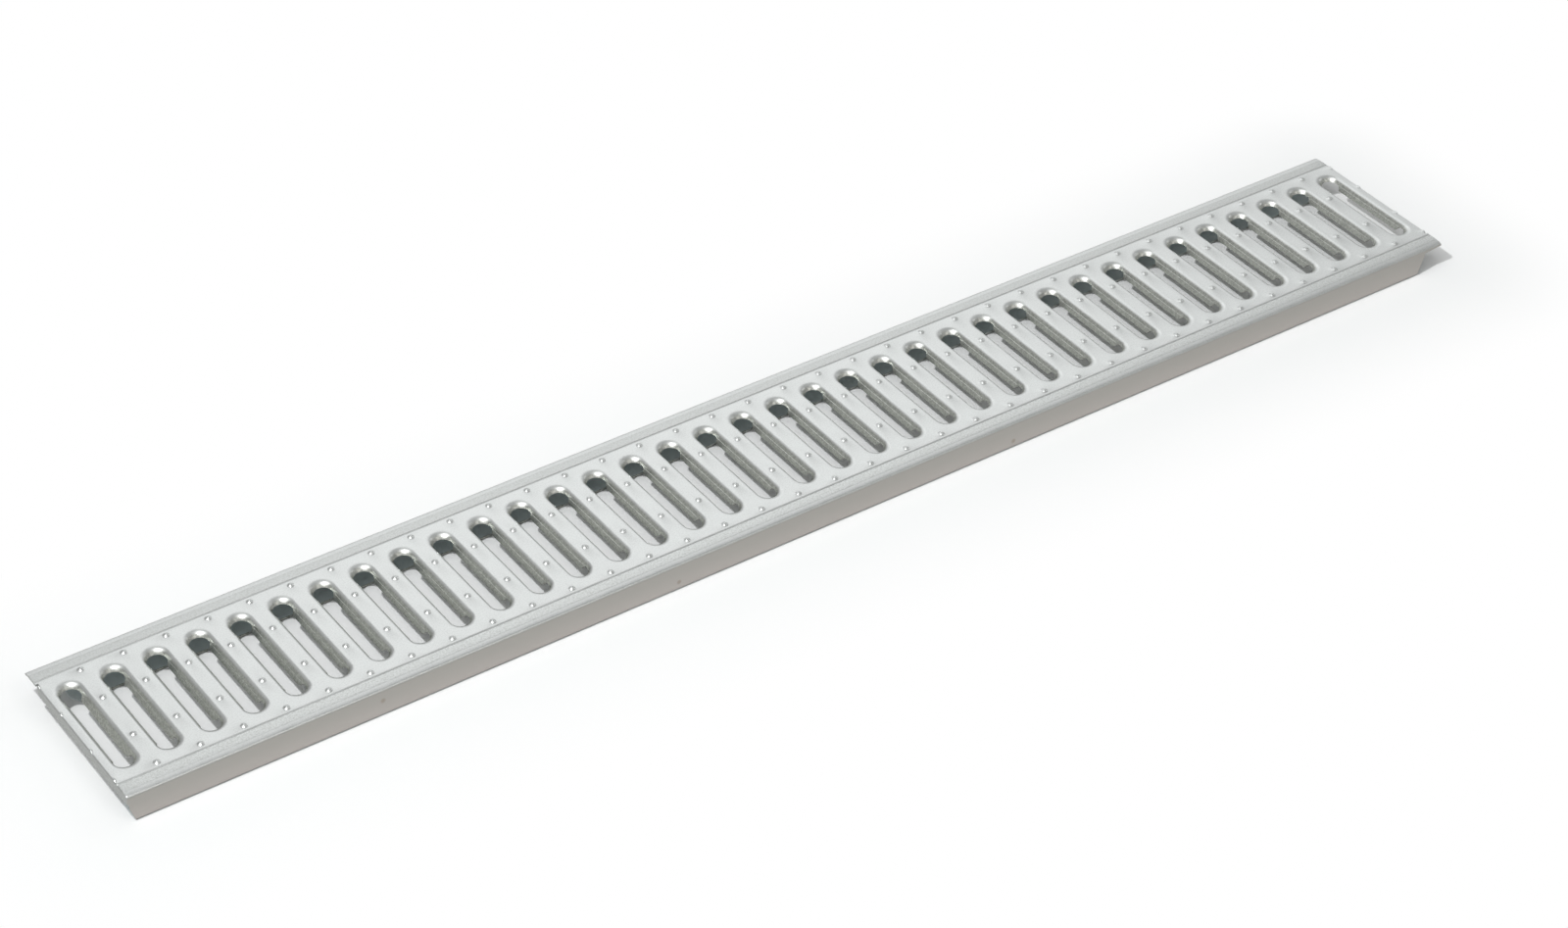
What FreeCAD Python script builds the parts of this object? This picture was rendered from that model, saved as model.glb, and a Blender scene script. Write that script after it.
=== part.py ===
"""Slotted channel drain grate, pressed and folded from one sheet of galvanised steel.

The sheet has a channel section with its open side down. The flat top carries a row of cross
slots with drawn rims, rows of anti-slip bumps between them and a shoulder along each long
side. The shoulders turn down into legs and the legs turn in to form feet. Each end of the top
turns down as a short lip. Each leg is cut back at one end, on the side away from the other
leg's cut, so the grate looks the same after half a turn about the vertical.

Frame: X runs along the grate, Y across it and Z up. The origin is at the middle of the
footprint, on the surface that the feet stand on. All sizes are in millimetres.
"""
import math
import os

import FreeCAD
import Part
from FreeCAD import Vector

# Overall size
LENGTH = 1000.0
WIDTH = 130.0
HEIGHT = 20.0
SHEET = 1.5

# Folded sides
BEND_RADIUS = 2.0
SHOULDER_WIDTH = 8.5
SHOULDER_SLOPE = math.radians(8)
FOOT_WIDTH = 21.5
CREASE_INSET = 12.1
CREASE_WIDTH = 0.8
CREASE_DEPTH = 0.25

# Ends of the legs and feet
LEG_SETBACK = 14.4
OVERHANG_DEPTH = 3.5
OVERHANG_TIP_DEPTH = 2.2
LEG_SLANT = math.radians(18.5)
CHAMFER_LENGTH = 4.2
CHAMFER_WIDTH = 6.5

# Lips at the ends of the top
LIP_DEPTH = 6.3
LIP_EDGE_RADIUS = 1.0
LIP_STOP = 16.0
RELIEF_WIDTH = 1.6
RELIEF_DEPTH = 1.8

# Slots, as the outline of the drawn rim on the top face
SLOT_COUNT = 36
SLOT_WIDTH = 18.8
SLOT_MARGIN = 7.9
END_FLATS = 8

# Drawn rim, rounder at the slot's ends than along its sides
RIM_DEPTH = 3.0
SIDE_RADIUS = 3.0
SIDE_ANGLE = math.radians(62)
END_RADIUS = 6.7

# Flaps that hang from the long sides of each rim
FLAP_DEPTH = 5.8
FLAP_SHORT = 6.7
FLAP_TAPER = 2.5

# Anti-slip bumps
BUMP_RADIUS = 2.5
BUMP_TOP_RADIUS = 1.2
BUMP_HEIGHT = 1.15
BUMP_FLATS = 6
BUMP_INSET = 4.75
BUMP_ROW_RATIO = 0.398

# Sizes that follow from the ones above
PITCH = LENGTH / SLOT_COUNT
HALF_LENGTH = LENGTH / 2
HALF_WIDTH = WIDTH / 2
CREASE_Y = HALF_WIDTH - CREASE_INSET
SLOT_HALF_LENGTH = CREASE_Y - SLOT_MARGIN
SLOT_HALF_WIDTH = SLOT_WIDTH / 2
UNDERSIDE = HEIGHT - SHEET
FOOT_INNER_Y = HALF_WIDTH - FOOT_WIDTH
BUMP_OUTER_ROW = CREASE_Y - BUMP_INSET
BUMP_ROOT = SHEET - CREASE_DEPTH
SPILL = 1.0


def edge(start, end):
    return Part.makeLine(start, end)


def arc(centre, radius, start_angle, end_angle):
    """Arc in the plane across the grate, with angles measured from +Y towards +Z."""
    points = []
    for share in (0.0, 0.5, 1.0):
        angle = start_angle + share * (end_angle - start_angle)
        points.append(centre + radius * Vector(0, math.cos(angle), math.sin(angle)))
    return Part.Arc(*points).toShape()


def skin_edges():
    """Outer face of the section on the +Y side, from the foot's inner edge to the flat top."""
    bend_y = HALF_WIDTH - BEND_RADIUS
    normal = math.pi / 2 - SHOULDER_SLOPE
    slope_y = bend_y + BEND_RADIUS * math.cos(normal)
    flat_y = HALF_WIDTH - SHOULDER_WIDTH
    shoulder_radius = (slope_y - flat_y) / math.sin(SHOULDER_SLOPE)
    drop = shoulder_radius * (1 - math.cos(SHOULDER_SLOPE))
    upper_z = HEIGHT - drop - BEND_RADIUS * math.sin(normal)
    lower_bend = Vector(0, bend_y, BEND_RADIUS)
    upper_bend = Vector(0, bend_y, upper_z)
    shoulder = Vector(0, flat_y, HEIGHT - shoulder_radius)
    return [
        edge(Vector(0, FOOT_INNER_Y, 0), Vector(0, bend_y, 0)),
        arc(lower_bend, BEND_RADIUS, -math.pi / 2, 0.0),
        edge(Vector(0, HALF_WIDTH, BEND_RADIUS), Vector(0, HALF_WIDTH, upper_z)),
        arc(upper_bend, BEND_RADIUS, 0.0, normal),
        arc(shoulder, shoulder_radius, normal, math.pi / 2),
    ]


def skin_wire():
    """Outer face of the whole section, from foot to foot."""
    right = skin_edges()
    mirror = [part.mirror(Vector(0, 0, 0), Vector(0, 1, 0)) for part in right]
    flat_y = HALF_WIDTH - SHOULDER_WIDTH
    top = edge(Vector(0, flat_y, HEIGHT), Vector(0, -flat_y, HEIGHT))
    parts = right + [top]
    for shape in reversed(mirror):
        parts.extend(shape.Edges)
    return Part.Wire(Part.__sortEdges__(parts))


def along_grate(face):
    """The section face drawn out over the whole length."""
    solid = face.extrude(Vector(LENGTH, 0, 0))
    solid.translate(Vector(-HALF_LENGTH, 0, 0))
    return solid


def folded_sheet():
    """Channel section of even thickness."""
    section = skin_wire().makeOffset2D(-SHEET, 0, True, True)
    return along_grate(section)


def envelope():
    """Everything inside the outer faces of the section, with the hollow filled."""
    skin = skin_wire()
    closing = edge(Vector(0, FOOT_INNER_Y, 0), Vector(0, -FOOT_INNER_Y, 0))
    outline = Part.Wire(Part.__sortEdges__(skin.Edges + [closing]))
    return along_grate(Part.Face(outline))


def prism(points, direction):
    """Solid drawn out from a flat outline."""
    outline = Part.makePolygon(points + points[:1])
    return Part.Face(outline).extrude(direction)


def stack(rings):
    """Solid with flat faces through rings that have the same number of points."""
    faces = []
    for lower, upper in zip(rings, rings[1:]):
        count = len(lower)
        for index in range(count):
            following = (index + 1) % count
            corners = [lower[index], lower[following], upper[following], upper[index]]
            faces.append(Part.Face(Part.makePolygon(corners + corners[:1])))
    for ring in (rings[0], rings[-1]):
        faces.append(Part.Face(Part.makePolygon(ring + ring[:1])))
    return Part.Solid(Part.Shell(faces))


def slot_ring(half_width, half_length, z):
    """Outline of a slot with round ends, each drawn as END_FLATS short flats."""
    centre_y = half_length - half_width
    ring = []
    for side in (1, -1):
        for step in range(END_FLATS + 1):
            angle = math.pi * step / END_FLATS
            x = side * half_width * math.cos(angle)
            y = side * (centre_y + half_width * math.sin(angle))
            ring.append(Vector(x, y, z))
    return ring


def rim_ring(drop_angle, side_radius, end_radius, z):
    """Rim outline where the side has turned down by drop_angle, at the height z."""
    above_side_centre = z - (HEIGHT - SIDE_RADIUS)
    above_end_centre = z - (HEIGHT - END_RADIUS)
    straight_drop = max(0.0, side_radius * math.cos(drop_angle) - above_side_centre)
    side_inset = side_radius * math.sin(drop_angle) + straight_drop / math.tan(SIDE_ANGLE)
    end_inset = math.sqrt(max(0.0, end_radius**2 - above_end_centre**2))
    half_width = SLOT_HALF_WIDTH - side_inset
    half_length = SLOT_HALF_LENGTH - end_inset
    return slot_ring(half_width, half_length, z)


def rim_top_rings():
    """Rings on the face of the rim that the water runs over, from the top down."""
    rings = []
    for share in (0.0, 0.5, 1.0):
        angle = share * SIDE_ANGLE
        z = HEIGHT - SIDE_RADIUS * (1 - math.cos(angle))
        rings.append(rim_ring(angle, SIDE_RADIUS, END_RADIUS, z))
    rings.append(rim_ring(SIDE_ANGLE, SIDE_RADIUS, END_RADIUS, HEIGHT - RIM_DEPTH))
    return rings


def rim_under_rings():
    """Rings on the underside of the rim, one sheet thickness away, from the top down."""
    side_radius = SIDE_RADIUS - SHEET
    end_radius = END_RADIUS - SHEET
    bend_z = HEIGHT - SIDE_RADIUS + side_radius * math.cos(SIDE_ANGLE)
    cut_z = HEIGHT - RIM_DEPTH - SHEET * math.cos(SIDE_ANGLE)
    return [
        rim_ring(0.0, side_radius, end_radius, UNDERSIDE),
        rim_ring(SIDE_ANGLE, side_radius, end_radius, bend_z),
        rim_ring(SIDE_ANGLE, side_radius, end_radius, cut_z),
    ]


def extend(ring, beyond, distance):
    """The ring carried on past 'beyond', in the line of the two, by a drop of 'distance'."""
    moved = []
    for start, end in zip(ring, beyond):
        moved.append(end + (end - start) * (distance / (start.z - end.z)))
    return moved


def rim_body():
    """Material that the drawn rim adds under the flat top."""
    rings = rim_under_rings()
    root = [point + Vector(0, 0, SHEET / 2) for point in rings[0]]
    return stack([root] + rings)


def rim_opening():
    """Space inside the rim, open from above the top to below the cut edge."""
    rings = rim_top_rings()
    mouth = [point + Vector(0, 0, SPILL) for point in rings[0]]
    cut_edge = rim_under_rings()[-1]
    return stack([mouth] + rings + [extend(rings[-1], cut_edge, SPILL)])


def flap(side):
    """Flap that carries the straight side of the rim further down."""
    tangent_z = HEIGHT - SIDE_RADIUS * (1 - math.cos(SIDE_ANGLE))
    tangent_x = SLOT_HALF_WIDTH - SIDE_RADIUS * math.sin(SIDE_ANGLE)
    thickness = SHEET / math.sin(SIDE_ANGLE)
    reach = SLOT_HALF_LENGTH - SLOT_HALF_WIDTH - FLAP_SHORT
    root_z = HEIGHT - RIM_DEPTH + SHEET / 4
    rings = []
    for z, half in ((root_z, reach + FLAP_TAPER), (HEIGHT - FLAP_DEPTH, reach)):
        near = tangent_x - (tangent_z - z) / math.tan(SIDE_ANGLE)
        far = near + thickness
        ring = [(near, -half), (far, -half), (far, half), (near, half)]
        rings.append([Vector(side * x, y, z) for x, y in ring])
    return stack(rings)


def bump(x, y):
    """Low bump with a flat crown."""
    rings = []
    for radius, z in (
        (BUMP_RADIUS, HEIGHT - BUMP_ROOT),
        (BUMP_RADIUS, HEIGHT),
        (BUMP_TOP_RADIUS, HEIGHT + BUMP_HEIGHT),
    ):
        angles = [2 * math.pi * step / BUMP_FLATS for step in range(BUMP_FLATS)]
        ring = [Vector(x + radius * math.cos(a), y + radius * math.sin(a), z) for a in angles]
        rings.append(ring)
    return stack(rings)


def bumps():
    """Four rows of bumps, with the end columns halved by the ends of the sheet."""
    block = Part.makeBox(
        LENGTH, WIDTH, HEIGHT, Vector(-HALF_LENGTH, -HALF_WIDTH, UNDERSIDE)
    )
    block = block.cut([relief(), half_turned(relief())])
    solids = []
    for column in range(SLOT_COUNT + 1):
        x = column * PITCH - HALF_LENGTH
        for ratio in (1.0, BUMP_ROW_RATIO, -BUMP_ROW_RATIO, -1.0):
            solid = bump(x, ratio * BUMP_OUTER_ROW)
            if column in (0, SLOT_COUNT):
                solid = solid.common(block)
            solids.append(solid)
    return solids


def crease(side):
    """Fine pressed line along the shoulder."""
    y = side * CREASE_Y
    points = [
        Vector(-HALF_LENGTH, y - CREASE_WIDTH, HEIGHT + CREASE_DEPTH),
        Vector(-HALF_LENGTH, y, HEIGHT - CREASE_DEPTH),
        Vector(-HALF_LENGTH, y + CREASE_WIDTH, HEIGHT + CREASE_DEPTH),
    ]
    return prism(points, Vector(LENGTH, 0, 0))


def leg_cut_back():
    """Cut that shortens the leg and foot on the -Y side at the +X end.

    What stays of the bend beyond the leg gets shallower towards the end of the grate.
    """
    top_z = HEIGHT - OVERHANG_DEPTH
    top_x = HALF_LENGTH - LEG_SETBACK
    bottom_x = top_x - (top_z + SPILL) * math.tan(LEG_SLANT)
    rise = (OVERHANG_DEPTH - OVERHANG_TIP_DEPTH) / LEG_SETBACK
    tip_z = top_z + rise * (LEG_SETBACK + SPILL)
    start_y = -HALF_WIDTH - SPILL
    points = [
        Vector(top_x, start_y, top_z),
        Vector(bottom_x, start_y, -SPILL),
        Vector(HALF_LENGTH + SPILL, start_y, -SPILL),
        Vector(HALF_LENGTH + SPILL, start_y, tip_z),
    ]
    return prism(points, Vector(0, FOOT_WIDTH + 2 * SPILL, 0))


def leg_end_slant():
    """Slanted end of the other end of the same leg, below the lip."""
    top_z = HEIGHT - LIP_DEPTH
    foot_x = -HALF_LENGTH + (top_z + SPILL) * math.tan(LEG_SLANT)
    start_y = -HALF_WIDTH - SPILL
    points = [
        Vector(-HALF_LENGTH - SPILL, start_y, top_z),
        Vector(-HALF_LENGTH, start_y, top_z),
        Vector(foot_x, start_y, -SPILL),
        Vector(-HALF_LENGTH - SPILL, start_y, -SPILL),
    ]
    return prism(points, Vector(0, FOOT_WIDTH + 2 * SPILL, 0))


def foot_chamfer(x, inward):
    """Chamfer on the inner corner of the foot, at the foot's end x."""
    y = -FOOT_INNER_Y
    scale = 1 + SPILL / CHAMFER_LENGTH + SPILL / CHAMFER_WIDTH
    corner = Vector(x - inward * SPILL, y + SPILL, -SPILL)
    points = [
        corner,
        corner + Vector(inward * CHAMFER_LENGTH * scale, 0, 0),
        corner - Vector(0, CHAMFER_WIDTH * scale, 0),
    ]
    return prism(points, Vector(0, 0, SHEET + 2 * SPILL))


def foot_chamfers():
    """Chamfers on both ends of the foot on the -Y side."""
    cut_x = HALF_LENGTH - LEG_SETBACK - (HEIGHT - OVERHANG_DEPTH) * math.tan(LEG_SLANT)
    flush_x = -HALF_LENGTH + (HEIGHT - LIP_DEPTH) * math.tan(LEG_SLANT)
    return [foot_chamfer(cut_x, -1), foot_chamfer(flush_x, 1)]


def end_lip(whole):
    """Lip at the -X end, closed against the -Y leg and stopping short of the +Y side."""
    block = Part.makeBox(
        SHEET,
        WIDTH - LIP_STOP,
        LIP_DEPTH,
        Vector(-HALF_LENGTH, -HALF_WIDTH, HEIGHT - LIP_DEPTH),
    )
    return whole.common(block)


def relief():
    """Small notch that frees the end of the lip from the shoulder."""
    corner = Vector(-HALF_LENGTH - SPILL, HALF_WIDTH - LIP_STOP, 0)
    return Part.makeBox(RELIEF_DEPTH + SPILL, RELIEF_WIDTH, HEIGHT + SPILL, corner)


def lip_rounding():
    """What the fold of the lip leaves off the top edge at the -X end."""
    radius = LIP_EDGE_RADIUS
    start_y = -HALF_WIDTH - SPILL
    length = Vector(0, WIDTH - LIP_STOP + SPILL, 0)
    block = Part.makeBox(
        radius + SPILL,
        length.y,
        radius + SPILL,
        Vector(-HALF_LENGTH - SPILL, start_y, HEIGHT - radius),
    )
    axis = Vector(-HALF_LENGTH + radius, start_y, HEIGHT - radius)
    return block.cut(Part.makeCylinder(radius, length.y, axis, length))


def half_turned(shape):
    """The same shape at the other end, after half a turn about the vertical."""
    turned = shape.copy()
    turned.rotate(Vector(0, 0, 0), Vector(0, 0, 1), 180)
    return turned


def slot_copies(shape):
    """One copy of the shape in each slot."""
    copies = []
    for index in range(SLOT_COUNT):
        copy = shape.copy()
        copy.translate(Vector((index + 0.5) * PITCH - HALF_LENGTH, 0, 0))
        copies.append(copy)
    return copies


def grate():
    """The finished grate."""
    lip = end_lip(envelope())
    ends = [leg_cut_back(), leg_end_slant(), relief(), lip_rounding()] + foot_chamfers()
    ends += [half_turned(shape) for shape in ends]
    body = folded_sheet().fuse([lip, half_turned(lip)])
    body = body.cut(ends + [crease(1), crease(-1)])
    body = body.fuse(slot_copies(rim_body()))
    body = body.cut(slot_copies(rim_opening()))
    flaps = slot_copies(flap(1)) + slot_copies(flap(-1))
    body = body.fuse(flaps + bumps())
    return body.removeSplitter()


def main():
    os.makedirs("parts", exist_ok=True)
    shape = grate()
    solid = shape.Solids[0]
    solid.exportStep("parts/grate.step")
    box = solid.BoundBox
    print("solids", len(shape.Solids), "valid", solid.isValid(), "faces", len(solid.Faces))
    print("size", round(box.XLength, 3), round(box.YLength, 3), round(box.ZLength, 3))
    print("volume cm3", round(solid.Volume / 1000, 2))


main()
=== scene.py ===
"""Dressed model and studio scene of a slotted drain grate folded from galvanised sheet.

The sheet is drawn here as one fine skin, with its slot rims, bumps, folds and cut ends, and is
then given its thickness. Sizes are in millimetres until the mesh is made, and in the zinc's
material. The floor, the lights and the camera are placed in metres.
"""
import math

import bmesh
import bpy
from mathutils import Matrix, Vector
from mathutils.geometry import delaunay_2d_cdt


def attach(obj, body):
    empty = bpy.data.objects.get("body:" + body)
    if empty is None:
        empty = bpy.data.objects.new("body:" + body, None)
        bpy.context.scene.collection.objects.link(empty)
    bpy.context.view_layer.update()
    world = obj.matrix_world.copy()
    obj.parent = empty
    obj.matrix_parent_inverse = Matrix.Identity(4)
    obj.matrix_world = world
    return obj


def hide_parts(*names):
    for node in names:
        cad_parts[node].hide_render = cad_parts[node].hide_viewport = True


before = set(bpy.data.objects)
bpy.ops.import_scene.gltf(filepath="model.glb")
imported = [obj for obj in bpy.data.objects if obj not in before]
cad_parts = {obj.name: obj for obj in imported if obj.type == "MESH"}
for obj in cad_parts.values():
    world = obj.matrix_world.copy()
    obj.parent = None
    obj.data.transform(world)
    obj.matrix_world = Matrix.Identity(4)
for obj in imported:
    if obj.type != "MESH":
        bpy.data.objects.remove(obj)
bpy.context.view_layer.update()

MM = 0.001
CLOSE = 1e-6
QUARTER_TURN = math.pi / 2

# Sheet and section
LENGTH = 1000.0
WIDTH = 130.0
HEIGHT = 20.0
SHEET = 1.5
BEND_RADIUS = 2.0
SHOULDER_WIDTH = 8.5
SHOULDER_SLOPE = math.radians(8)
FOOT_WIDTH = 21.5
FIELD_Y = 51.2
CREASE_Y = 52.9
CREASE_HALF = 0.4
CREASE_DEPTH = 0.25

# Ends
LEG_SETBACK = 14.4
OVERHANG_DEPTH = 3.5
OVERHANG_TIP_DEPTH = 2.2
LEG_SLANT = math.radians(18.5)
CHAMFER_LENGTH = 4.2
CHAMFER_WIDTH = 6.5
LIP_DEPTH = 6.3
LIP_RADIUS = 1.0
LIP_STOP = 16.0
RELIEF_WIDTH = 1.6
RELIEF_DEPTH = 1.8

# Slots, their rims and the flaps along their sides
SLOT_COUNT = 36
SLOT_HALF_WIDTH = 9.4
SLOT_HALF_LENGTH = 45.0
RIM_DEPTH = 3.0
RIM_MARGIN = 0.5
SIDE_RADIUS = 3.0
SIDE_ANGLE = math.radians(62)
END_RADIUS = 6.7
FLAP_DEPTH = 5.8
FLAP_REACH = 28.9
FLAP_TAPER = 2.5
LEDGE = 0.25
LEDGE_DROP = 0.08

# Bumps, which fade out at the relief notch
BUMP_ROWS = (48.15, 19.16, -19.16, -48.15)
BUMP_RADIUS = 2.6
BUMP_HEIGHT = 1.15
NOTCH_FADE = 1.2

# Fineness of the skin
BUMP_RINGS = (0.55, 1.1, 1.65, 2.15, 2.6)
BUMP_SECTORS = 9
END_STEPS = 14
SIDE_STATIONS = (15.0, 0.0, -15.0)
ARC_SHARES = (0.0, 0.16, 0.33, 0.5, 0.67, 0.84, 1.0)
SLANT_SHARES = (0.5, 1.0)
FOLD_STEPS = 8
SHOULDER_STEPS = 4
BEND_STEPS = 7
FOOT_BEND_STEPS = 6
LEG_MIDDLE_Z = 9.0
BEND_MARGIN = 0.7
SHARP_ANGLE = math.radians(38)

# Values that follow from the ones above
PITCH = LENGTH / SLOT_COUNT
HALF_LENGTH = LENGTH / 2
HALF_WIDTH = WIDTH / 2
FOLD_X = -HALF_LENGTH + LIP_RADIUS
FOLD_ARC = LIP_RADIUS * QUARTER_TURN
LIP_BOTTOM = HEIGHT - LIP_DEPTH
BELOW_LIP = LIP_BOTTOM - 0.001
LIP_DROP = LIP_DEPTH - LIP_RADIUS
LIP_END_Y = HALF_WIDTH - LIP_STOP
OVERHANG_Z = HEIGHT - OVERHANG_DEPTH
SLOPE_END_Y = HALF_WIDTH - BEND_RADIUS + BEND_RADIUS * math.sin(SHOULDER_SLOPE)
SHOULDER_RADIUS = (SLOPE_END_Y - HALF_WIDTH + SHOULDER_WIDTH) / math.sin(SHOULDER_SLOPE)
SLOPE_END_Z = HEIGHT - SHOULDER_RADIUS * (1 - math.cos(SHOULDER_SLOPE))
FLAP_END = FLAP_REACH + FLAP_TAPER
RIM_STATIONS = (FLAP_END, FLAP_REACH, *SIDE_STATIONS, -FLAP_REACH, -FLAP_END)


class Skin:
    """Faces of the outer skin, with corners that fall together made one."""

    def __init__(self):
        self.points = []
        self.faces = []
        self.index = {}

    def corner(self, point):
        """Number of the corner at a point."""
        key = tuple(round(value, 3) + 0.0 for value in point)
        if key not in self.index:
            self.index[key] = len(self.points)
            self.points.append(tuple(point))
        return self.index[key]

    def face(self, points):
        """Add a face, unless fewer than three of its points differ."""
        corners = []
        for point in points:
            corner = self.corner(point)
            if corner not in corners:
                corners.append(corner)
        if len(corners) > 2:
            self.faces.append(corners)

    def strip(self, first, second):
        """Quads between two lines with the same number of points."""
        for step in range(len(first) - 1):
            self.face([first[step], first[step + 1], second[step + 1], second[step]])


def column_x(column):
    """Place along the grate of a column of bumps, counted from the -X end."""
    return column * PITCH - HALF_LENGTH


def bump_height(x, y):
    """How far the top of the sheet is pressed up at a point of the plan."""
    nearest = round((x + HALF_LENGTH) / PITCH)
    best = 0.0
    for row in BUMP_ROWS:
        reach = math.hypot(x - column_x(nearest), y - row) / BUMP_RADIUS
        if reach < 1:
            best = max(best, BUMP_HEIGHT * (1 - reach**2) ** 2)
    if x < RELIEF_DEPTH + BUMP_RADIUS - HALF_LENGTH:
        best *= min(1.0, max(0.0, (LIP_END_Y - y) / NOTCH_FADE))
    return best


def unfold(x):
    """Where a plan position lies on the flat blank, at the fold of the lip."""
    if x >= FOLD_X:
        return x
    return FOLD_X - LIP_RADIUS * math.asin(min(1.0, (FOLD_X - x) / LIP_RADIUS))


def fold(x, y):
    """Point of the finished top for a point of the flat blank."""
    if x >= FOLD_X or y > LIP_END_Y + RELIEF_WIDTH / 2:
        return (x, y, HEIGHT + bump_height(x, y))
    turn = (FOLD_X - x) / LIP_RADIUS
    if turn <= QUARTER_TURN + CLOSE:
        plan_x = FOLD_X - LIP_RADIUS * math.sin(turn)
        drop = LIP_RADIUS * (1 - math.cos(turn))
        return (plan_x, y, HEIGHT - drop + bump_height(plan_x, y) * math.cos(turn))
    return (-HALF_LENGTH, y, HEIGHT - LIP_RADIUS - (FOLD_X - FOLD_ARC - x))


def slot_outline(half_width, half_length):
    """Plan of a rim ring, anticlockwise from the +X side, as (x, y) pairs."""
    centre_y = half_length - half_width
    ring = []
    for side in (1, -1):
        for step in range(END_STEPS + 1):
            angle = math.pi * step / END_STEPS
            x = side * half_width * math.cos(angle)
            ring.append((x, side * (centre_y + half_width * math.sin(angle))))
        ring += [(-side * half_width, side * y) for y in RIM_STATIONS]
    return ring


def rim_profile():
    """(half width, half length, z) of each ring, from the flat top to the rim's lower edge."""
    rings = [(SLOT_HALF_WIDTH + RIM_MARGIN, SLOT_HALF_LENGTH + RIM_MARGIN, HEIGHT)]
    levels = []
    for share in ARC_SHARES:
        angle = share * SIDE_ANGLE
        inset = SIDE_RADIUS * math.sin(angle)
        levels.append((inset, SIDE_RADIUS * (1 - math.cos(angle))))
    inset, drop = levels[-1]
    for share in SLANT_SHARES:
        extra = share * (RIM_DEPTH - drop)
        levels.append((inset + extra / math.tan(SIDE_ANGLE), drop + extra))
    for inset, drop in levels:
        end_inset = math.sqrt(END_RADIUS**2 - (END_RADIUS - drop) ** 2)
        rings.append((SLOT_HALF_WIDTH - inset, SLOT_HALF_LENGTH - end_inset, HEIGHT - drop))
    return rings


def flap_column(y):
    """(distance from the slot's middle, z) of the points down a flap at one station."""
    root_half = rim_profile()[-1][0]
    root_z = HEIGHT - RIM_DEPTH
    if abs(y) > FLAP_REACH:
        return [(root_half, root_z)] * (2 + len(SLANT_SHARES))
    drop = FLAP_DEPTH - RIM_DEPTH
    column = [(root_half, root_z), (root_half - LEDGE, root_z - LEDGE_DROP)]
    for share in SLANT_SHARES:
        inset = LEDGE + share * drop / math.tan(SIDE_ANGLE)
        column.append((root_half - inset, root_z - share * drop))
    return column


def add_rim(skin, centre_x):
    """Drawn rim of one slot and the flaps along its sides."""
    lines = []
    for half_width, half_length, z in rim_profile():
        outline = slot_outline(half_width, half_length)
        lines.append([(centre_x + x, y, z) for x, y in outline + outline[:1]])
    for upper, lower in zip(lines, lines[1:]):
        skin.strip(upper, lower)
    for side in (1, -1):
        columns = []
        for y in RIM_STATIONS:
            columns.append([(centre_x + side * x, side * y, z) for x, z in flap_column(y)])
        for first, second in zip(columns, columns[1:]):
            skin.strip(second, first)


def half_circle(x, y, radius, side):
    """Points of the half of a ring that lies on one side of a bump column."""
    points = []
    for step in range(BUMP_SECTORS + 1):
        angle = math.pi * (step / BUMP_SECTORS - 0.5)
        points.append((x + side * radius * math.cos(angle), y + radius * math.sin(angle)))
    return points


def inside(point, outline):
    """Whether a point lies inside a closed outline."""
    x, y = point
    found = False
    for (x1, y1), (x2, y2) in zip(outline, outline[1:] + outline[:1]):
        if (y1 > y) != (y2 > y) and x < x1 + (y - y1) / (y2 - y1) * (x2 - x1):
            found = not found
    return found


def fill(border, hole, lines):
    """Triangles of the plane inside the border and outside the hole, keeping the lines."""
    places = []
    numbers = {}
    edges = set()

    def number(point):
        key = (round(point[0], 4), round(point[1], 4))
        if key not in numbers:
            numbers[key] = len(places)
            places.append(Vector(point))
        return numbers[key]

    for line in [border + border[:1], hole + hole[:1]] + lines:
        for first, second in zip(line, line[1:]):
            pair = sorted((number(first), number(second)))
            if pair[0] != pair[1]:
                edges.add(tuple(pair))
        number(line[0])
    result = delaunay_2d_cdt(places, sorted(edges), [], 0, CLOSE)
    vertices, faces = result[0], result[2]
    triangles = []
    for corners in faces:
        points = [tuple(vertices[corner]) for corner in corners]
        middle = (sum(x for x, _ in points) / 3, sum(y for _, y in points) / 3)
        if inside(middle, border) and not inside(middle, hole):
            triangles.append(points)
    return triangles


def field_lines(left, right, wrap):
    """Rings of the half bumps on both sides of a tile, with x passed through wrap."""
    lines = []
    for row in BUMP_ROWS:
        for radius in BUMP_RINGS:
            for x, side in ((left, 1), (right, -1)):
                ring = half_circle(x, row, radius, side)
                lines.append([(wrap(px), py) for px, py in ring])
        lines.append([(wrap(left), row)])
        lines.append([(right, row)])
    return lines


def side_marks(top):
    """Places where the bump rings meet a tile's side, in order of y."""
    marks = {-FIELD_Y, top}
    for row in BUMP_ROWS:
        marks.add(row)
        for radius in BUMP_RINGS:
            marks.update((row - radius, row + radius))
    return sorted(mark for mark in marks if -FIELD_Y <= mark <= top)


def slot_hole(middle):
    """Outline that a slot's rim takes out of its tile."""
    rim = slot_outline(SLOT_HALF_WIDTH + RIM_MARGIN, SLOT_HALF_LENGTH + RIM_MARGIN)
    return [(middle + x, y) for x, y in rim]


def tile(left):
    """Flat of one slot's tile: border, slot and bump rings."""
    right = left + PITCH
    middle = left + PITCH / 2
    marks = side_marks(FIELD_Y)
    border = [(middle, -FIELD_Y)]
    border += [(right, y) for y in marks]
    border += [(middle, FIELD_Y)]
    border += [(left, y) for y in reversed(marks)]
    return fill(border, slot_hole(middle), field_lines(left, right, lambda x: x))


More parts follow.
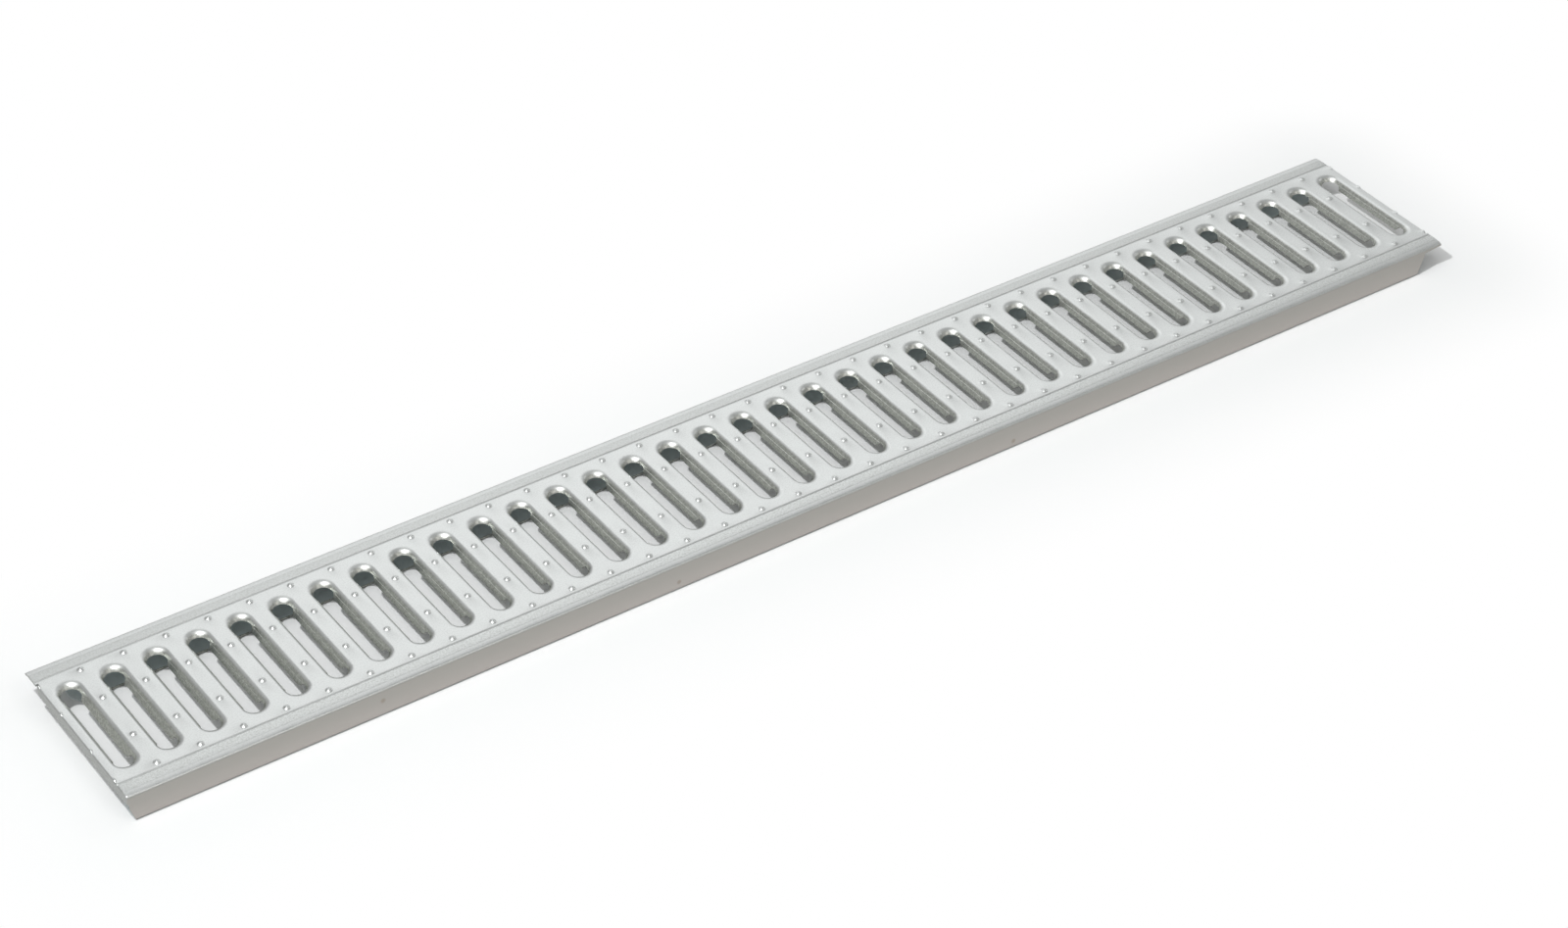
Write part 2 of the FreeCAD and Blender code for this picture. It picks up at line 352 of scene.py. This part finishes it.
def end_tile():
    """Tile of the first slot, with the lip's blank, its fold lines and the relief notch."""
    left = -HALF_LENGTH
    right = left + PITCH
    middle = left + PITCH / 2
    tip = FOLD_X - FOLD_ARC - LIP_DROP
    relief_x = left + RELIEF_DEPTH
    relief_y = LIP_END_Y + RELIEF_WIDTH
    folds = [FOLD_X - FOLD_ARC * step / FOLD_STEPS for step in range(FOLD_STEPS + 1)]
    border = [(tip, -FIELD_Y)]
    border += [(x, -FIELD_Y) for x in reversed(folds)]
    border += [(middle, -FIELD_Y)]
    border += [(right, y) for y in side_marks(FIELD_Y)]
    border += [(middle, FIELD_Y), (left, FIELD_Y), (left, relief_y), (relief_x, relief_y)]
    border += [(relief_x, LIP_END_Y)]
    border += [(x, LIP_END_Y) for x in folds]
    border += [(tip, LIP_END_Y)]
    lines = []
    for line in field_lines(left, right, unfold):
        kept = [point for point in line if point[1] <= LIP_END_Y or point[0] > relief_x]
        if len(kept) > 1 or len(line) == 1:
            lines.append(kept or line)
    for x in folds:
        lines.append([(x, y) for y in side_marks(LIP_END_Y)])
    return fill(border, slot_hole(middle), lines)


def section():
    """(y, z, outward normal angle) along the +Y side, from the field's edge to the foot."""
    bend_y = HALF_WIDTH - BEND_RADIUS
    flat_y = HALF_WIDTH - SHOULDER_WIDTH
    inner_y = HALF_WIDTH - FOOT_WIDTH
    normal = QUARTER_TURN - SHOULDER_SLOPE
    bend_z = SLOPE_END_Z - BEND_RADIUS * math.sin(normal)
    flat = (
        (FIELD_Y, 0.0),
        (CREASE_Y - CREASE_HALF, 0.0),
        (CREASE_Y, CREASE_DEPTH),
        (CREASE_Y + CREASE_HALF, 0.0),
        (CREASE_Y + 2 * CREASE_HALF, 0.0),
        (flat_y, 0.0),
    )
    rows = [(y, HEIGHT - drop, QUARTER_TURN) for y, drop in flat]
    for step in range(1, SHOULDER_STEPS + 1):
        angle = QUARTER_TURN - SHOULDER_SLOPE * step / SHOULDER_STEPS
        y = flat_y + SHOULDER_RADIUS * math.cos(angle)
        rows.append((y, HEIGHT - SHOULDER_RADIUS * (1 - math.sin(angle)), angle))
    for step in range(1, BEND_STEPS + 1):
        angle = normal * (1 - step / BEND_STEPS)
        y = bend_y + BEND_RADIUS * math.cos(angle)
        rows.append((y, bend_z + BEND_RADIUS * math.sin(angle), angle))
    for z in (OVERHANG_Z, LIP_BOTTOM, LEG_MIDDLE_Z, BEND_RADIUS + BEND_MARGIN):
        rows.append((HALF_WIDTH, z, 0.0))
    for step in range(FOOT_BEND_STEPS + 1):
        angle = -QUARTER_TURN * step / FOOT_BEND_STEPS
        y = bend_y + BEND_RADIUS * math.cos(angle)
        rows.append((y, BEND_RADIUS + BEND_RADIUS * math.sin(angle), angle))
    for y in (bend_y - BEND_MARGIN, (bend_y + inner_y) / 2, inner_y + CHAMFER_WIDTH, inner_y):
        rows.append((y, 0.0, -QUARTER_TURN))
    return rows


def on_leg(row, level):
    """Whether a row of the section lies below a level of the leg, or on the foot."""
    _, z, angle = row
    return z < level + CLOSE and angle < CLOSE


def chamfer_at(y):
    """How far the foot's inner corner is cut back at a distance y from the middle line."""
    beyond = HALF_WIDTH - FOOT_WIDTH + CHAMFER_WIDTH - y
    return max(0.0, beyond) * CHAMFER_LENGTH / CHAMFER_WIDTH


def overhang_tip(y, z):
    """Where a point of the section ends at the tip of the overhang, which is shallower."""
    tip_z = HEIGHT - OVERHANG_TIP_DEPTH
    if z >= tip_z:
        return y, z
    bend_z = SLOPE_END_Z - BEND_RADIUS * math.cos(SHOULDER_SLOPE)
    turn = math.asin((tip_z - bend_z) / BEND_RADIUS)
    return HALF_WIDTH - BEND_RADIUS + BEND_RADIUS * math.cos(turn), tip_z


def strip_columns():
    """Places along the grate where the side strips are divided, up to the middle."""
    return [-HALF_LENGTH + step * PITCH / 2 for step in range(1, SLOT_COUNT + 1)]


def add_far_side(skin):
    """+Y side at the -X end: plain end above, leg and foot cut back below."""
    cut_x = -HALF_LENGTH + LEG_SETBACK
    lines = []
    for row in section():
        y, z, _ = row
        columns = [-HALF_LENGTH, cut_x] + strip_columns()[1:]
        if on_leg(row, OVERHANG_Z):
            end = cut_x + (OVERHANG_Z - z) * math.tan(LEG_SLANT) + chamfer_at(y)
            columns[0] = end
            columns[1] = max(end, cut_x)
        line = [(x, y, z) for x in columns]
        if z >= OVERHANG_Z - CLOSE:
            line[0] = (-HALF_LENGTH, *overhang_tip(y, z))
        lines.append(line)
    for upper, lower in zip(lines, lines[1:]):
        for step in range(len(upper) - 1):
            if step == 0 and lower[1][2] < OVERHANG_Z - CLOSE:
                continue
            corners = [upper[step], upper[step + 1], lower[step + 1], lower[step]]
            skin.face(corners[::-1])


def folded_row(y, z, angle):
    """Points of a row of the section round the lip's fold, on the -Y side."""
    axis_y = y - LIP_RADIUS * math.cos(angle)
    axis_z = z - LIP_RADIUS * math.sin(angle)
    points = []
    for step in range(FOLD_STEPS, -1, -1):
        turn = QUARTER_TURN * step / FOLD_STEPS
        out = LIP_RADIUS * math.cos(turn)
        x = FOLD_X - LIP_RADIUS * math.sin(turn)
        point_y = axis_y + out * math.cos(angle)
        points.append((x, -point_y, axis_z + out * math.sin(angle)))
    return points


def add_near_side(skin):
    """-Y side at the -X end: folded corner above, slanted leg and foot below."""
    lines = []
    lip_edge = []
    for row in section():
        y, z, angle = row
        if on_leg(row, BELOW_LIP):
            end = -HALF_LENGTH + (LIP_BOTTOM - z) * math.tan(LEG_SLANT) + chamfer_at(y)
            line = [(max(end, FOLD_X), -y, z)] * (FOLD_STEPS + 1)
        else:
            line = folded_row(y, z, angle)
            lip_edge.append(line[0])
        line += [(x, -y, z) for x in strip_columns()]
        lines.append(line)
    for upper, lower in zip(lines, lines[1:]):
        for step in range(len(upper) - 1):
            if step < FOLD_STEPS and lower[0][0] > -HALF_LENGTH + CLOSE:
                continue
            skin.face([upper[step], upper[step + 1], lower[step + 1], lower[step]])
    lip_edge.append((-HALF_LENGTH, -FIELD_Y, LIP_BOTTOM))
    skin.face(lip_edge[::-1])


def left_half():
    """Outer skin from the -X end to the middle of the grate."""
    skin = Skin()
    for points in end_tile():
        skin.face([fold(x, y) for x, y in points])
    pattern = tile(0.0)
    for column in range(1, SLOT_COUNT // 2):
        left = column_x(column)
        for points in pattern:
            skin.face([fold(x + left, y) for x, y in points])
    for column in range(SLOT_COUNT // 2):
        add_rim(skin, column_x(column + 0.5))
    add_far_side(skin)
    add_near_side(skin)
    return skin


def whole_skin():
    """The left half and its half-turned copy, joined at the middle."""
    half = left_half()
    skin = Skin()
    for turn in (1, -1):
        for corners in half.faces:
            points = [half.points[corner] for corner in corners]
            skin.face([(turn * x, turn * y, z) for x, y, z in points])
    return skin


def new_object(name, data):
    """Object in the scene for a mesh, a lamp or a camera."""
    item = bpy.data.objects.new(name, data)
    bpy.context.scene.collection.objects.link(item)
    return item


def grate_mesh():
    """The skin in metres, thickened inwards and kept within the grate's length."""
    skin = whole_skin()
    mesh = bpy.data.meshes.new("grate_skin")
    mesh.from_pydata([[value * MM for value in point] for point in skin.points], [], skin.faces)
    work = bmesh.new()
    work.from_mesh(mesh)
    bmesh.ops.recalc_face_normals(work, faces=work.faces)
    top = max(work.faces, key=lambda face: face.calc_center_median().z)
    if top.normal.z < 0:
        bmesh.ops.reverse_faces(work, faces=work.faces)
    work.to_mesh(mesh)
    work.free()
    holder = new_object("grate_holder", mesh)
    thicken = holder.modifiers.new("thickness", "SOLIDIFY")
    thicken.thickness = SHEET * MM
    thicken.offset = -1
    thicken.use_even_offset = True
    bpy.context.view_layer.update()
    graph = bpy.context.evaluated_depsgraph_get()
    solid = bpy.data.meshes.new_from_object(holder.evaluated_get(graph))
    bpy.data.objects.remove(holder)
    reach = HALF_LENGTH * MM
    for vertex in solid.vertices:
        vertex.co.x = min(reach, max(-reach, vertex.co.x))
    return solid


def finish_mesh(mesh):
    """Smooth faces, with sharp lines where the sheet was cut."""
    work = bmesh.new()
    work.from_mesh(mesh)
    for edge in work.edges:
        edge.smooth = len(edge.link_faces) == 2 and edge.calc_face_angle(0.0) < SHARP_ANGLE
    for face in work.faces:
        face.smooth = True
    work.to_mesh(mesh)
    work.free()


class Graph:
    """Short way to add nodes to a material, a lamp or the world and to link them."""

    def __init__(self, tree):
        self.nodes = tree.nodes
        self.links = tree.links

    def add(self, kind, inputs=(), **settings):
        """New node. Inputs are (name or number, value or socket) pairs."""
        node = self.nodes.new(kind)
        for name, value in settings.items():
            setattr(node, name, value)
        for name, value in inputs:
            if isinstance(value, bpy.types.NodeSocket):
                self.links.new(value, node.inputs[name])
            else:
                node.inputs[name].default_value = value
        return node

    def math(self, operation, *values):
        """Result of one sum, product or other operation."""
        pairs = list(enumerate(values))
        return self.add("ShaderNodeMath", pairs, operation=operation).outputs[0]

    def times(self, first, *others):
        """Product of all values."""
        for value in others:
            first = self.math("MULTIPLY", first, value)
        return first

    def step(self, value, low, high):
        """0 below low and 1 above high, with a smooth rise between them."""
        pairs = [("Value", value), ("From Min", low), ("From Max", high)]
        node = self.add("ShaderNodeMapRange", pairs, interpolation_type="SMOOTHSTEP")
        return node.outputs["Result"]

    def fall(self, value, low, high):
        """1 below low and 0 above high, with a smooth fall between them."""
        return self.math("SUBTRACT", 1.0, self.step(value, low, high))

    def band(self, value, middle, half, soft):
        """1 within half of the middle, and 0 from soft further out."""
        away = self.math("ABSOLUTE", self.math("SUBTRACT", value, middle))
        return self.fall(away, half, half + soft)

    def noise(self, place, scale, detail, roughness):
        """Cloudy pattern from 0 to 1."""
        pairs = [("Vector", place), ("Scale", scale), ("Detail", detail)]
        pairs.append(("Roughness", roughness))
        return self.add("ShaderNodeTexNoise", pairs).outputs["Fac"]

    def blend(self, share, first, second):
        """Colour that goes from the first to the second as share goes from 0 to 1."""
        pairs = [(0, share), (6, first), (7, second)]
        return self.add("ShaderNodeMix", pairs, data_type="RGBA").outputs[2]

    def place(self):
        """Place on the object, in metres from its origin."""
        return self.add("ShaderNodeTexCoord").outputs["Object"]

    def split(self, place):
        """x, y and z of a place."""
        return self.add("ShaderNodeSeparateXYZ", [(0, place)]).outputs

    def seen(self):
        """1 where the camera looks straight at a surface, 0 in mirrors and bounced light."""
        return self.add("ShaderNodeLightPath").outputs["Is Camera Ray"]


def new_material(name):
    """New material and the graph of its nodes."""
    material = bpy.data.materials.new(name)
    material.use_nodes = True
    return material, Graph(material.node_tree)


# Zinc: its noises, as scale to the millimetre, detail and roughness
GRAIN = (1.1, 3.0, 0.6)
BLOTCH = (0.12, 3.0, 0.55)
PEEL = (0.75, 2.0, 0.6)

# Zinc: colours, with painted shade on the rims and legs and painted light on the feet
ZINC_DULL = (0.755, 0.785, 0.775, 1)
ZINC_BRIGHT = (0.835, 0.855, 0.85, 1)
SPECKLE_COLOUR = (0.60, 0.62, 0.61, 1)
FLECK_COLOUR = (0.58, 0.60, 0.58, 1)
FAR_STRIP_COLOUR = (0.58, 0.60, 0.59, 1)
# Painted shade: the drawn rims and flaps are darkened and tinted olive the way their
# reflections look, mottled by a real random tone
RIM_SHADE_DARK = (0.44, 0.455, 0.42, 1)
RIM_SHADE_PALE = (0.64, 0.655, 0.61, 1)
# Painted light: the feet and the inner faces of the legs are made pale bluish white for the
# light they get under the plate
FOOT_PAINTED_LIGHT = (0.88, 0.96, 0.98, 1)
# Painted light and shade on the outer faces of the legs: paler near the floor, darker higher up
LEG_LOW_PAINTED_LIGHT = (0.82, 0.785, 0.76, 1)
LEG_HIGH_PAINTED_SHADE = (0.735, 0.72, 0.69, 1)
SPOT_COLOUR = (0.45, 0.36, 0.27, 1)

# Zinc: how much of each colour shows
SPECKLE_SHARE = 0.5
FLECK_SHARE = 0.6
FAR_STRIP_SHARE = 0.4
RIM_SHADE_SHARE = 0.8
SPOT_SHARE = 0.45

# Zinc: ranges of the noises over which a colour comes in
SPECKLE_RANGE = (0.35, 0.75)
FLECK_RANGE = (0.42, 0.62)
RIM_SHADE_RANGE = (0.4, 0.6)

# Zinc: ranges of a place over which a zone comes in
TOP_RANGE = (HEIGHT - 0.9, HEIGHT - 0.3)
DRAWN_RANGE = (HEIGHT - 1.6, HEIGHT - 0.3)
BELOW_RANGE = (HEIGHT - 3.5, HEIGHT - 2.5)
SLOT_END_RANGE = (SLOT_HALF_LENGTH - 0.6, SLOT_HALF_LENGTH)
FAR_RANGE = (0.0, 1.0)
LEG_RANGE = (HALF_WIDTH - 0.5, HALF_WIDTH - 0.1)
LEG_PAINTED_SHADE_RANGE = (2.0, 17.0)

# Zinc: bands, as middle, half width and soft edge
STRIP_BAND = (56.6, 2.9, 1.2)
SLOT_BAND = (0.0, SLOT_HALF_WIDTH - 0.1, 0.3)
LENGTH_BAND = (0.0, HALF_LENGTH - 2.0, 0.3)
FOOT_BAND = (54.0, 9.9, 0.2)

# Zinc: x, z and radius of the faint spots on the -Y leg
LEG_SPOTS = ((-335.1, 11.4, 2.4), (-128.2, 6.1, 2.2), (129.4, 5.5, 2.4))
SPOT_CORE = 0.3

# Zinc: roughness, and how high its grain and its pressed flecks stand
ROUGH_LEAST = 0.25
ROUGH_BLOTCH = 0.14
ROUGH_GRAIN = 0.10
ROUGH_STRIP = 0.04
FOOT_DULLNESS = 0.9
GRAIN_HEIGHT = 0.02
PEEL_HEIGHT = 0.12


def drawn_zone(graph, x, side, z):
    """1 on the drawn rims and the flaps of the slots."""
    share = graph.math("FRACT", graph.math("DIVIDE", graph.math("ADD", x, HALF_LENGTH), PITCH))
    slot_x = graph.math("MULTIPLY", graph.math("SUBTRACT", share, 0.5), PITCH)
    across = graph.band(slot_x, *SLOT_BAND)
    along = graph.fall(side, *SLOT_END_RANGE)
    return graph.times(across, along, graph.fall(z, *DRAWN_RANGE))


def foot_zone(graph, x, side, z):
    """1 on the feet and on the inner faces of the legs."""
    near_leg = graph.band(side, *FOOT_BAND)
    below = graph.fall(z, *BELOW_RANGE)
    return graph.times(near_leg, below, graph.band(x, *LENGTH_BAND))


def add_spots(graph, place, colour):
    """Colour with the faint spots of the -Y leg over it."""
    for x, z, radius in LEG_SPOTS:
        pairs = [(0, place), (1, (x, -HALF_WIDTH, z))]
        away = graph.add("ShaderNodeVectorMath", pairs, operation="DISTANCE").outputs["Value"]
        spot = graph.fall(away, radius * SPOT_CORE, radius)
        colour = graph.blend(graph.times(spot, SPOT_SHARE), colour, SPOT_COLOUR)
    return colour


def zinc_material():
    """Galvanised sheet: bright zinc with a fine grain, pressed harder along both sides, with
    painted shade on the drawn rims and legs and painted light on the feet.
    """
    material, graph = new_material("galvanised_zinc")
    shader = graph.nodes["Principled BSDF"]
    pairs = [(0, graph.place()), ("Scale", 1 / MM)]
    place = graph.add("ShaderNodeVectorMath", pairs, operation="SCALE").outputs[0]
    x, y, z = graph.split(place)
    side = graph.math("ABSOLUTE", y)
    grain = graph.noise(place, *GRAIN)
    blotch = graph.noise(place, *BLOTCH)
    peel = graph.noise(place, *PEEL)
    strip = graph.times(graph.band(side, *STRIP_BAND), graph.step(z, *TOP_RANGE))
    far_strip = graph.times(strip, graph.step(y, *FAR_RANGE))
    # Zone of the feet and inner leg faces, which are given painted light
    foot = foot_zone(graph, x, side, z)

    speckle = graph.step(grain, *SPECKLE_RANGE)
    fleck = graph.times(graph.step(peel, *FLECK_RANGE), strip)
    drawn = drawn_zone(graph, x, side, z)
    # Painted shade on the drawn rims and flaps, mottled by the peel noise
    rim_shade = graph.blend(graph.step(peel, *RIM_SHADE_RANGE), RIM_SHADE_DARK, RIM_SHADE_PALE)
    # Painted light and shade on the outer leg faces, paler near the floor and darker higher up
    leg_painted_shade = graph.blend(graph.step(z, *LEG_PAINTED_SHADE_RANGE), LEG_LOW_PAINTED_LIGHT, LEG_HIGH_PAINTED_SHADE)
    layers = (
        (graph.times(speckle, SPECKLE_SHARE), SPECKLE_COLOUR),
        (graph.times(fleck, FLECK_SHARE), FLECK_COLOUR),
        (graph.times(far_strip, FAR_STRIP_SHARE), FAR_STRIP_COLOUR),
        (graph.times(drawn, RIM_SHADE_SHARE), rim_shade),
        (foot, FOOT_PAINTED_LIGHT),
        (graph.step(side, *LEG_RANGE), leg_painted_shade),
    )
    colour = graph.blend(blotch, ZINC_DULL, ZINC_BRIGHT)
    for share, paint in layers:
        colour = graph.blend(share, colour, paint)
    colour = add_spots(graph, place, colour)
    graph.links.new(colour, shader.inputs["Base Color"])

    metal = graph.math("MULTIPLY_ADD", foot, -FOOT_DULLNESS, 1.0)
    graph.links.new(metal, shader.inputs["Metallic"])
    rough = graph.math("MULTIPLY_ADD", blotch, ROUGH_BLOTCH, ROUGH_LEAST)
    rough = graph.math("MULTIPLY_ADD", grain, ROUGH_GRAIN, rough)
    rough = graph.math("MULTIPLY_ADD", strip, ROUGH_STRIP, rough)
    graph.links.new(rough, shader.inputs["Roughness"])
    relief = graph.times(grain, GRAIN_HEIGHT)
    relief = graph.math("MULTIPLY_ADD", graph.times(peel, strip), PEEL_HEIGHT, relief)
    pairs = [("Height", relief), ("Distance", MM), ("Strength", 1.0)]
    bump = graph.add("ShaderNodeBump", pairs)
    graph.links.new(bump.outputs[0], shader.inputs["Normal"])
    return material


WHITE = (1.0, 1.0, 1.0, 1)

# Floor: its size, its colour to bounced light and to the camera, and where it turns plain white
FLOOR_SIZE = 30
FLOOR_BOUNCE_COLOUR = (0.49, 0.49, 0.48, 1)
FLOOR_SEEN_COLOUR = (0.965, 0.98, 0.985, 1)
FLOOR_ROUGHNESS = 0.9
FLOOR_SHADE_RANGE = (0.01, 0.11)


def add_floor():
    """Pale floor that takes the shadow near the grate and is plain white further out."""
    bpy.ops.mesh.primitive_plane_add(size=FLOOR_SIZE, location=(0, 0, 0))
    floor = bpy.context.object
    floor.name = "floor"
    material, graph = new_material("floor_paint")
    shader = graph.nodes["Principled BSDF"]
    seen = graph.seen()
    colour = graph.blend(seen, FLOOR_BOUNCE_COLOUR, FLOOR_SEEN_COLOUR)
    graph.links.new(colour, shader.inputs["Base Color"])
    shader.inputs["Roughness"].default_value = FLOOR_ROUGHNESS
    shader.inputs["Specular IOR Level"].default_value = 0.0

    x, y, _ = graph.split(graph.place())
    out_x = graph.math("SUBTRACT", graph.math("ABSOLUTE", x), HALF_LENGTH * MM)
    out_y = graph.math("SUBTRACT", graph.math("ABSOLUTE", y), HALF_WIDTH * MM)
    out_x = graph.math("MAXIMUM", out_x, 0.0)
    out_y = graph.math("MAXIMUM", out_y, 0.0)
    square = graph.math("MULTIPLY_ADD", out_y, out_y, graph.times(out_x, out_x))
    away = graph.math("SQRT", square)
    plain = graph.times(seen, graph.step(away, *FLOOR_SHADE_RANGE))
    white = graph.add("ShaderNodeEmission", [("Color", WHITE), ("Strength", 1.0)])
    pairs = [(0, plain), (1, shader.outputs[0]), (2, white.outputs[0])]
    mix = graph.add("ShaderNodeMixShader", pairs)
    output = graph.nodes["Material Output"]
    graph.links.new(mix.outputs[0], output.inputs["Surface"])
    floor.data.materials.append(material)


# Sky: its plain colour, and its bright patches as direction, inner and outer angle, and colour
BACKDROP_COLOUR = (0.97, 0.97, 0.98, 1)
SKY_COLOUR = (0.35, 0.35, 0.345)
SKY_LOBES = (
    ((0.27, -0.66, 0.68), 5, 13, (1.7, 1.65, 1.55)),
    ((0.80, 0.01, 0.59), 3, 8, (2.0, 2.0, 2.0)),
    ((-0.45, -0.15, 0.88), 6, 33, (1.8, 1.8, 1.8)),
)


def add_world():
    """Dim sky with three soft bright patches, and a pale backdrop for the camera."""
    world = bpy.data.worlds.new("studio")
    bpy.context.scene.world = world
    world.use_nodes = True
    graph = Graph(world.node_tree)
    towards = graph.add("ShaderNodeTexCoord").outputs["Generated"]
    total = SKY_COLOUR
    for direction, inner, outer, colour in SKY_LOBES:
        aim = Vector(direction).normalized()
        pairs = [(0, towards), (1, aim)]
        dot = graph.add("ShaderNodeVectorMath", pairs, operation="DOT_PRODUCT").outputs["Value"]
        angle = graph.math("ARCCOSINE", graph.math("MINIMUM", dot, 1.0))
        near = graph.fall(angle, math.radians(inner), math.radians(outer))
        pairs = [(0, colour), ("Scale", near)]
        lobe = graph.add("ShaderNodeVectorMath", pairs, operation="SCALE").outputs[0]
        pairs = [(0, total), (1, lobe)]
        total = graph.add("ShaderNodeVectorMath", pairs, operation="ADD").outputs[0]
    background = graph.nodes["Background"]
    colour = graph.blend(graph.seen(), total, BACKDROP_COLOUR)
    graph.links.new(colour, background.inputs["Color"])
    background.inputs["Strength"].default_value = 1.0


# Key lamp
KEY_PLACE = (-1.0, -0.32, 1.72)
KEY_SIZE = 0.10
KEY_POWER = 4.65


def add_key():
    """Small soft lamp to the left, with the same strength at both ends of the grate."""
    lamp = bpy.data.lights.new("key", "AREA")
    lamp.shape = "DISK"
    lamp.size = KEY_SIZE
    lamp.energy = KEY_POWER
    lamp.use_nodes = True
    graph = Graph(lamp.node_tree)
    falloff = graph.add("ShaderNodeLightFalloff", [("Strength", 1.0)])
    emission = graph.nodes["Emission"]
    graph.links.new(falloff.outputs["Constant"], emission.inputs["Strength"])
    light = new_object("key", lamp)
    light.location = KEY_PLACE
    light.rotation_euler = Vector(KEY_PLACE).to_track_quat("Z", "Y").to_euler()


# Wall: its place, how bright it gets above the sky, and where that fades
WALL_Y = 1.13
WALL_X = (-0.38, 3.2)
WALL_Z = (0.0, 2.4)
WALL_LEVEL = 1.15
WALL_LEFT_RANGE = (WALL_X[0], WALL_X[0] + 0.18)
WALL_RIGHT_RANGE = (0.7, WALL_X[1])
WALL_HEIGHT_BAND = (1.2, 0.35, 0.8)


def add_wall():
    """Pale wall behind the grate, out of the picture, which only the zinc mirrors."""
    corners = [(x, WALL_Y, z) for z in WALL_Z for x in WALL_X]
    mesh = bpy.data.meshes.new("wall")
    mesh.from_pydata(corners, [], [(0, 1, 3, 2)])
    wall = new_object("wall", mesh)
    wall.visible_camera = False
    wall.visible_diffuse = False
    wall.visible_shadow = False
    material, graph = new_material("wall_light")
    x, _, z = graph.split(graph.place())
    left = graph.step(x, *WALL_LEFT_RANGE)
    right = graph.fall(x, *WALL_RIGHT_RANGE)
    share = graph.times(graph.band(z, *WALL_HEIGHT_BAND), left, right)
    sky_level = SKY_COLOUR[0]
    level = graph.math("MULTIPLY_ADD", share, WALL_LEVEL - sky_level, sky_level)
    emission = graph.add("ShaderNodeEmission", [("Color", WHITE), ("Strength", level)])
    output = graph.nodes["Material Output"]
    graph.links.new(emission.outputs[0], output.inputs["Surface"])
    mesh.materials.append(material)


# Camera: its axes, place, lens and near and far limits
CAMERA_RIGHT = (0.8200, -0.5722, 0.0163)
CAMERA_UP = (0.3388, 0.5081, 0.7918)
CAMERA_PLACE = (-1.0812, -1.5020, 1.4269)
CAMERA_SENSOR = 36
CAMERA_LENS = 84.08
CAMERA_NEAR = 0.05
CAMERA_FAR = 50


def add_camera():
    """Camera at the photograph's place, found from the regular grid of bumps."""
    data = bpy.data.cameras.new("camera")
    camera = new_object("camera", data)
    right = Vector(CAMERA_RIGHT)
    up = Vector(CAMERA_UP)
    axes = Matrix((right, up, right.cross(up))).transposed().to_4x4()
    camera.matrix_world = Matrix.Translation(CAMERA_PLACE) @ axes
    data.sensor_width = CAMERA_SENSOR
    data.lens = CAMERA_LENS
    data.clip_start = CAMERA_NEAR
    data.clip_end = CAMERA_FAR
    bpy.context.scene.camera = camera


mesh = grate_mesh()
finish_mesh(mesh)
grate = new_object("grate_sheet", mesh)
mesh.materials.append(zinc_material())
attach(grate, "root")
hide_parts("grate")

add_floor()
add_world()
add_key()
add_wall()
add_camera()
bpy.context.scene.view_settings.view_transform = "Standard"

print("triangles", sum(len(face.vertices) - 2 for face in mesh.polygons))
